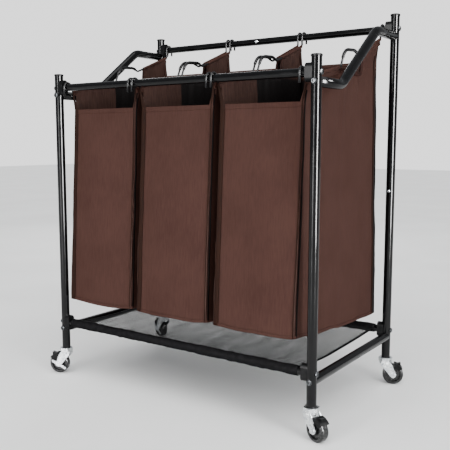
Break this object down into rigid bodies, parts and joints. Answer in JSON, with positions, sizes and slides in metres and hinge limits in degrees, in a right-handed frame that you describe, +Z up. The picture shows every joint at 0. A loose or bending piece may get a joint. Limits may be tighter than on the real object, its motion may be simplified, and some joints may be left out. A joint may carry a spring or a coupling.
{
  "type": "laundry sorter on wheels",
  "caption": "Tube-frame laundry sorter on swivel casters, with lift-off fabric bags on wire hangers and a mesh shelf below.",
  "frame": {"origin": "on the floor, under the middle of the frame", "axes": "+X along the rails to the right seen from the front, +Y from the low front posts to the tall back posts, +Z up"},
  "size_m": [0.7328, 0.4134, 0.82],
  "materials": {
    "powder_coat_black": "gloss black powder-coated steel tube",
    "plastic_black": "moulded black plastic",
    "zinc_plate": "bright zinc-plated steel",
    "inner_steel": "plain steel inside the tubes",
    "wheel_black": "glossy moulded black wheel",
    "bag_fabric": "woven brown polyester with a coated lining",
    "wire_black": "black vinyl-dipped steel wire",
    "mesh_black": "open black polyester mesh"
  },
  "bodies": {
    "frame": {"front_left_upper_post": "powder_coat_black", "front_left_lower_post": "powder_coat_black", "front_right_upper_post": "powder_coat_black", "front_right_lower_post": "powder_coat_black", "back_left_upper_post": "powder_coat_black", "back_left_lower_post": "powder_coat_black", "back_right_upper_post": "powder_coat_black", "back_right_lower_post": "powder_coat_black", "left_side_handle": "powder_coat_black", "left_cross_tube": "powder_coat_black", "right_side_handle": "powder_coat_black", "right_cross_tube": "powder_coat_black", "front_top_rail_left": "powder_coat_black", "front_bottom_rail_left": "powder_coat_black", "front_top_rail_right": "powder_coat_black", "front_bottom_rail_right": "powder_coat_black", "back_top_rail_left": "powder_coat_black", "back_bottom_rail_left": "powder_coat_black", "back_top_rail_right": "powder_coat_black", "back_bottom_rail_right": "powder_coat_black", "post_caps": "plastic_black", "post_sleeves": "inner_steel", "button_clips": "inner_steel", "rail_sleeves": "inner_steel", "rail_screws": "zinc_plate", "rail_saddles": "plastic_black", "frame_bolts": "zinc_plate", "tube_end_nuts": "inner_steel", "stem_sockets": "plastic_black", "caster_stems": "zinc_plate", "shelf_mesh": "mesh_black"},
    "front_left_caster": {"front_left_fork": "zinc_plate", "front_left_wheel_hood": "plastic_black", "front_left_axle_bolt": "zinc_plate"},
    "front_left_wheel": {"front_left_wheel": "wheel_black"},
    "front_left_lock_lever": {"front_left_lock_lever": "zinc_plate"},
    "front_left_snap_button": {"front_left_snap_button": "zinc_plate"},
    "front_right_caster": {"front_right_fork": "zinc_plate", "front_right_wheel_hood": "plastic_black", "front_right_axle_bolt": "zinc_plate"},
    "front_right_wheel": {"front_right_wheel": "wheel_black"},
    "front_right_snap_button": {"front_right_snap_button": "zinc_plate"},
    "back_left_caster": {"back_left_fork": "zinc_plate", "back_left_wheel_hood": "plastic_black", "back_left_axle_bolt": "zinc_plate"},
    "back_left_wheel": {"back_left_wheel": "wheel_black"},
    "back_left_lock_lever": {"back_left_lock_lever": "zinc_plate"},
    "back_left_snap_button": {"back_left_snap_button": "zinc_plate"},
    "back_right_caster": {"back_right_fork": "zinc_plate", "back_right_wheel_hood": "plastic_black", "back_right_axle_bolt": "zinc_plate"},
    "back_right_wheel": {"back_right_wheel": "wheel_black"},
    "back_right_snap_button": {"back_right_snap_button": "zinc_plate"},
    "left_bag": {"left_bag": "bag_fabric", "left_bag_hangers": "wire_black"},
    "middle_bag": {"middle_bag": "bag_fabric", "middle_bag_hangers": "wire_black"},
    "right_bag": {"right_bag": "bag_fabric", "right_bag_hangers": "wire_black"}
  },
  "joints": [
    {"name": "front_left_caster_swivel", "type": "hinge", "parent": "frame", "child": "front_left_caster", "pos_m": [-0.327, -0.181, 0.052], "axis": [0, 0, 1], "continuous": true},
    {"name": "front_left_wheel_spin", "type": "hinge", "parent": "front_left_caster", "child": "front_left_wheel", "pos_m": [-0.34241, -0.18818, 0.023], "axis": [0.4226, -0.9063, 0], "continuous": true},
    {"name": "front_left_lock", "type": "hinge", "parent": "front_left_caster", "child": "front_left_lock_lever", "pos_m": [-0.34241, -0.18818, 0.023], "axis": [0.4226, -0.9063, 0], "range_deg": [0, 30]},
    {"name": "front_left_snap_button_press", "type": "slide", "parent": "frame", "child": "front_left_snap_button", "axis": [0, -1, 0], "range_m": [0, 0.002], "stiffness_N_per_m": 400, "springref_m": -0.001},
    {"name": "front_right_caster_swivel", "type": "hinge", "parent": "frame", "child": "front_right_caster", "pos_m": [0.327, -0.181, 0.052], "axis": [0, 0, 1], "continuous": true},
    {"name": "front_right_wheel_spin", "type": "hinge", "parent": "front_right_caster", "child": "front_right_wheel", "pos_m": [0.34297, -0.18681, 0.023], "axis": [0.342, 0.9397, 0], "continuous": true},
    {"name": "front_right_snap_button_press", "type": "slide", "parent": "frame", "child": "front_right_snap_button", "axis": [0, -1, 0], "range_m": [0, 0.002], "stiffness_N_per_m": 400, "springref_m": -0.001},
    {"name": "back_left_caster_swivel", "type": "hinge", "parent": "frame", "child": "back_left_caster", "pos_m": [-0.327, 0.181, 0.052], "axis": [0, 0, 1], "continuous": true},
    {"name": "back_left_wheel_spin", "type": "hinge", "parent": "back_left_caster", "child": "back_left_wheel", "pos_m": [-0.34297, 0.18681, 0.023], "axis": [-0.342, -0.9397, 0], "continuous": true},
    {"name": "back_left_lock", "type": "hinge", "parent": "back_left_caster", "child": "back_left_lock_lever", "pos_m": [-0.34297, 0.18681, 0.023], "axis": [-0.342, -0.9397, 0], "range_deg": [0, 30]},
    {"name": "back_left_snap_button_press", "type": "slide", "parent": "frame", "child": "back_left_snap_button", "axis": [0, 1, 0], "range_m": [0, 0.002], "stiffness_N_per_m": 400, "springref_m": -0.001},
    {"name": "back_right_caster_swivel", "type": "hinge", "parent": "frame", "child": "back_right_caster", "pos_m": [0.327, 0.181, 0.052], "axis": [0, 0, 1], "continuous": true},
    {"name": "back_right_wheel_spin", "type": "hinge", "parent": "back_right_caster", "child": "back_right_wheel", "pos_m": [0.34241, 0.18818, 0.023], "axis": [-0.4226, 0.9063, 0], "continuous": true},
    {"name": "back_right_snap_button_press", "type": "slide", "parent": "frame", "child": "back_right_snap_button", "axis": [0, 1, 0], "range_m": [0, 0.002], "stiffness_N_per_m": 400, "springref_m": -0.001},
    {"name": "left_bag_lift", "type": "slide", "parent": "frame", "child": "left_bag", "axis": [0, 0, 1], "range_m": [0, 0.15]},
    {"name": "middle_bag_lift", "type": "slide", "parent": "frame", "child": "middle_bag", "axis": [0, 0, 1], "range_m": [0, 0.15]},
    {"name": "right_bag_lift", "type": "slide", "parent": "frame", "child": "right_bag", "axis": [0, 0, 1], "range_m": [0, 0.15]}
  ]
}
